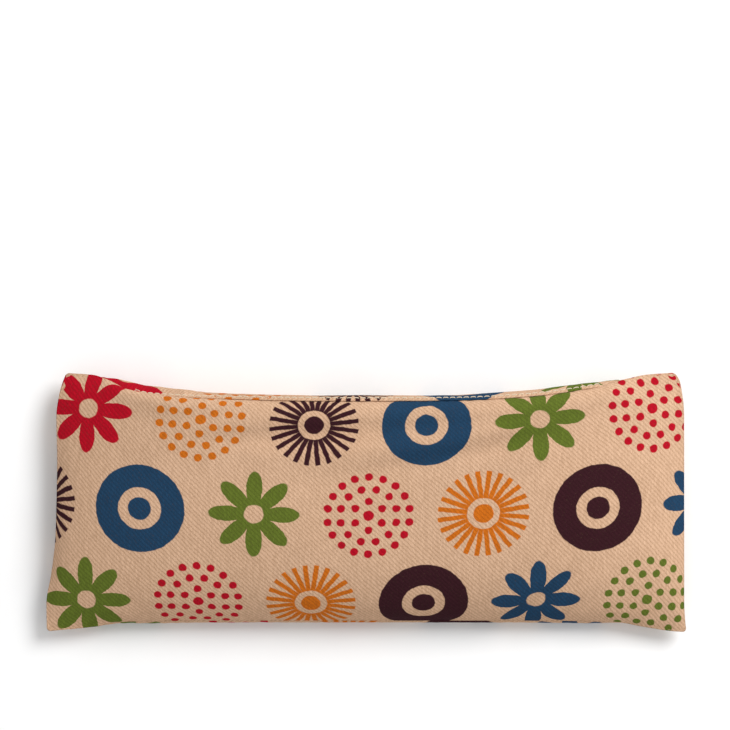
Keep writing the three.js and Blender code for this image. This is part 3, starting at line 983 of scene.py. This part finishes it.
def twill_material(name, spots):
    """Printed cotton twill: the rounds in ink, over yarns woven three up and one down."""
    n = Nodes(name)
    uv = n.add("ShaderNodeUVMap", uv_map="cut").outputs[0]
    place = n.scale(n.vector("SUBTRACT", uv, (0.5, 0.5, 0.0)), UV_SPAN)
    # Printed cloth is never quite true: edges wander a little.
    noise = n.add("ShaderNodeTexNoise")
    n.put(noise.inputs["Vector"], place)
    noise.inputs["Scale"].default_value = WANDER_SCALE
    noise.inputs["Detail"].default_value = 3.0
    wander = n.vector("SUBTRACT", noise.outputs[1], (0.5, 0.5, 0.5))
    drawn = n.vector("ADD", place, n.scale(wander, WANDER))

    # Of all the rounds, the nearest one gives its kind, its ink and its own coordinates.
    nearest = FAR
    local, kind, ink_colour = (FAR, FAR, 0.0), 0.0, RED
    for shape, x, y, colour in spots:
        away = n.vector("SUBTRACT", drawn, (x, y, 0.0))
        to_middle = n.vector("MULTIPLY", away, (1 / SPOT_RADIUS, 1 / SPOT_RADIUS, 0.0))
        length = n.vector("LENGTH", to_middle)
        closer = n.math("LESS_THAN", length, nearest)
        nearest = n.math("MINIMUM", length, nearest)
        local = n.mix(closer, local, to_middle, "VECTOR")
        kind = n.mix(closer, kind, float(shape), "FLOAT")
        ink_colour = n.mix(closer, ink_colour, colour)
    x, y, _ = n.split(local)
    turn = n.math("FRACT", n.math("MULTIPLY_ADD", n.math("ARCTAN2", y, x), 0.5 / math.pi, 1.0))
    ink = 0.0
    for number, pattern in enumerate((dots_pattern, rays_pattern, ring_pattern, petals_pattern)):
        chosen = n.math("COMPARE", kind, float(number), 0.1)
        ink = n.math("MAXIMUM", ink, n.math("MULTIPLY", chosen, pattern(n, turn, nearest)))

    # Three-up, one-down twill: floats of single yarns stepped into diagonal ribs.
    px, py, _ = n.split(place)
    drift = n.math("MULTIPLY_ADD", n.noise(place, 0.10), 1.2, -0.6)
    warp = n.math("DIVIDE", n.math("ADD", px, drift), YARN)
    yarn = n.math("FLOOR", warp)
    across = n.math("SUBTRACT", n.math("SUBTRACT", warp, yarn), 0.5)
    loose = n.math("MULTIPLY_ADD", n.chance(yarn, 2.0), 0.5, n.math("MULTIPLY", drift, 0.6))
    weft = n.math("ADD", n.math("DIVIDE", py, YARN), loose)
    climb = n.math("DIVIDE", n.math("ADD", yarn, weft), 4.0)
    float_number = n.math("FLOOR", climb)
    along = n.math("SUBTRACT", climb, float_number)
    rounded = n.math("MULTIPLY_ADD", n.math("MULTIPLY", across, across), -3.0, 1.0)
    fall = n.math("SUBTRACT", 1.0, n.ramp(along, 0.62, 0.86))
    arch = n.math("MULTIPLY", n.ramp(along, 0.0, 0.22), fall)
    weave = n.math("MULTIPLY", rounded, n.math("MULTIPLY_ADD", arch, 0.85, 0.15))
    twist = n.chance(yarn, float_number, 1.0)
    fine = n.join(n.math("MULTIPLY", px, 2.6), n.math("MULTIPLY", py, 1.1))
    fibre = n.noise(fine, 1.6, 3.0, 0.65)
    slub = n.noise(n.join(n.math("MULTIPLY", px, 1.3), n.math("MULTIPLY", py, 0.07)), 1.0, 2.0)
    cloud = n.noise(place, 0.03, 2.0)

    # The ground is lighter on the crown of each float and darker at its sides and ends, painted
    # shade of the weave's relief, with random yarn, slub and fibre tone on top.
    tone_and_weave_shade = n.total(-1.0, (weave, 0.62), (twist, 0.26), (fibre, 1.3), (slub, 0.35), (cloud, 0.25))
    ground = n.mix(tone_and_weave_shade, GROUND_DARK, GROUND)
    # The print lies on the raised yarns; the cloth shows a little between them.
    held = n.total(fibre, (weave, 0.35), (twist, 0.35))
    worn = n.ramp(held, 0.25, 0.70, 0.86, 1.0)
    ink = n.math("MULTIPLY", n.math("MINIMUM", ink, 1.0), worn)
    # The ink is darker at the sides and ends of the floats, painted shade of the weave's relief,
    # and varies with random yarn and fibre tone.
    shade = n.total(0.32, (weave, 0.26), (twist, 0.20), (fibre, 0.8))
    printed = n.mix(1.0, ink_colour, n.join(shade, shade, shade), blend="MULTIPLY")
    colour = n.mix(ink, ground, printed)
    roughness = n.ramp(weave, 0.0, 1.0, 0.97, 0.88)
    relief = n.total(weave, (twist, 0.15), (fibre, 0.5))
    normal = n.bump(relief, 0.00014, 0.8)
    return n.finish(colour, roughness, normal, Sheen_Weight=0.0, Specular_IOR_Level=0.04)


def thread_material(name, colour):
    """Spun thread, with the ply running round it."""
    n = Nodes(name)
    uv = n.add("ShaderNodeUVMap", uv_map="cut").outputs[0]
    along, round_it, _ = n.split(uv)
    turns = n.math("ADD", n.math("DIVIDE", along, THREAD_PITCH), round_it)
    ply = n.math("SINE", n.math("MULTIPLY", turns, 2 * math.pi))
    fine = n.join(n.math("MULTIPLY", along, 4.0), n.math("MULTIPLY", round_it, 6.0))
    fuzz = n.noise(fine, 1.0, 3.0)
    # The thread is darker in the grooves of the ply, painted shade, with random fuzz tone on
    # top.
    shade = n.total(0.73, (ply, 0.12), (fuzz, 0.3))
    tint = n.mix(1.0, colour, n.join(shade, shade, shade), blend="MULTIPLY")
    normal = n.bump(n.math("ADD", ply, fuzz), 0.00003, 0.8)
    return n.finish(tint, n.ramp(fuzz, 0.3, 0.7, 0.6, 0.75), normal, Sheen_Weight=0.1)


def muslin_material(name):
    """Thin plain weave."""
    n = Nodes(name)
    uv = n.add("ShaderNodeUVMap", uv_map="cut").outputs[0]
    px, py, _ = n.split(n.scale(uv, UV_SPAN))
    warp = n.math("SINE", n.math("MULTIPLY", px, 2 * math.pi / MUSLIN_PITCH[0]))
    weft = n.math("SINE", n.math("MULTIPLY", py, 2 * math.pi / MUSLIN_PITCH[1]))
    over = n.math("MULTIPLY", warp, weft)
    slub = n.noise(n.join(n.math("MULTIPLY", px, 0.1), py), 1.0, 3.0)
    # The cloth is lighter and darker by turns where the yarns cross over and under, painted
    # shade of the weave, with random slub tone on top.
    shade = n.total(0.83, (over, 0.06), (slub, 0.25))
    tint = n.mix(1.0, MUSLIN_COLOUR, n.join(shade, shade, shade), blend="MULTIPLY")
    normal = n.bump(n.math("ADD", over, slub), 0.00006, 0.6)
    return n.finish(tint, n.ramp(slub, 0.3, 0.7, 0.8, 0.95), normal, Sheen_Weight=0.08)


def seed_material(name):
    """Glossy brown seeds, each with its own tint."""
    n = Nodes(name)
    place = n.add("ShaderNodeTexCoord").outputs["Object"]
    cells = n.add("ShaderNodeTexVoronoi", feature="F1")
    n.put(cells.inputs["Vector"], place)
    cells.inputs["Scale"].default_value = SEED_CELLS
    tint = n.mix(n.split(cells.outputs["Color"])[0], SEED_DARK, SEED_LIGHT)
    # Each seed is darker towards its edge, painted shade where the seeds meet.
    shade = n.ramp(cells.outputs["Distance"], 0.25, 0.75, 1.0, 0.35)
    tint = n.mix(1.0, tint, n.join(shade, shade, shade), blend="MULTIPLY")
    height = n.math("SUBTRACT", 1.0, cells.outputs["Distance"])
    normal = n.bump(height, 0.0006, 0.8)
    roughness = n.ramp(cells.outputs["Distance"], 0.2, 0.7, 0.32, 0.6)
    return n.finish(tint, roughness, normal)


def floor_material(name):
    n = Nodes(name)
    place = n.add("ShaderNodeTexCoord").outputs["Object"]
    grain = n.noise(place, 60.0, 3.0)
    return n.finish(n.mix(grain, (0.90, 0.90, 0.90), (0.93, 0.93, 0.93)), 0.9, None)


front_twill = twill_material("front_twill", spot_repeat(0.0))
back_twill = twill_material("back_twill", spot_repeat(BACK_SHIFT))
front = outer_panel(0, "front_panel_cloth", front_twill)
back = outer_panel(1, "back_panel_cloth", back_twill)
cream_thread = thread_material("cream_thread", CREAM)
white_thread = thread_material("white_thread", WHITE)
muslin = muslin_material("muslin")
flax = seed_material("flax_seed")

seed_mesh = seed_bed("flax_seed_bed", flax)
bag_front = bag_panel(0, "inner_bag_front_cloth", muslin)
bag_back = bag_panel(1, "inner_bag_back_cloth", muslin)
pieces = {
    "front_panel": (front, "front_twill"),
    "back_panel": (back, "back_twill"),
    "inner_bag_front": (bag_front, "muslin"),
    "inner_bag_back": (bag_back, "muslin"),
    "seed_fill": (seed_mesh, "flax_seed"),
}
for kind, level in (("needle", 1), ("bobbin", -1)):
    outer_seam = seam_path(SEAM_INSET, level, SEAM_DEPTH, SEAM_OPENING)
    bag_seam = seam_path(BAG_SEAM_INSET, level, BAG_SEAM_DEPTH, BAG_SEAM_OPENING)
    for seam, path, radius, material, slot in (
        ("closing", closing_path(level), THREAD, cream_thread, "cream_thread"),
        ("seam", outer_seam, THREAD, cream_thread, "cream_thread"),
        ("bag_seam", bag_seam, BAG_THREAD, white_thread, "white_thread"),
        ("bag_closing", bag_closing_path(level), BAG_THREAD, white_thread, "white_thread"),
    ):
        node = f"{seam}_{kind}_thread"
        pieces[node] = tube(f"{node}_spun", path, radius, material), slot
for node, (obj, slot) in pieces.items():
    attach(obj, "root")
    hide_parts(node)

# ------------------------------------------------------------------ floor, light, camera
bpy.ops.mesh.primitive_plane_add(size=8, location=(0, 0, 0))
floor = bpy.context.object
floor.name = "floor"
floor.data.materials.append(floor_material("floor"))

world = bpy.data.worlds.new("studio")
bpy.context.scene.world = world
world.use_nodes = True
WORLD_STRENGTH = 0.66
background = world.node_tree.nodes["Background"]
background.inputs["Color"].default_value = (1, 1, 1, 1)
background.inputs["Strength"].default_value = WORLD_STRENGTH


def lamp(name, place, size, power):
    data = bpy.data.lights.new(name, "AREA")
    data.shape = "DISK"
    data.size = size
    data.energy = power
    obj = bpy.data.objects.new(name, data)
    obj.location = place
    obj.rotation_mode = "QUATERNION"
    obj.rotation_quaternion = (-Vector(place)).to_track_quat("-Z", "Y")
    bpy.context.scene.collection.objects.link(obj)


KEY_PLACE, KEY_SIZE, KEY_POWER = (0.75, 0.75, 1.1), 0.9, 19
lamp("key", KEY_PLACE, KEY_SIZE, KEY_POWER)

camera_data = bpy.data.cameras.new("camera")
camera = bpy.data.objects.new("camera", camera_data)
bpy.context.scene.collection.objects.link(camera)
# Metres that the frame takes in at the floor, the camera's height, and what it is over.
FRAME_WIDTH, DISTANCE, AIM = 0.2897, 2.1, (-0.0006, 0.0543)
SENSOR = 36
camera_data.sensor_width = SENSOR
camera_data.lens = SENSOR * DISTANCE / FRAME_WIDTH
camera.location = (*AIM, DISTANCE)
camera_data.clip_end = 20
bpy.context.scene.camera = camera
bpy.context.scene.view_settings.view_transform = "Standard"
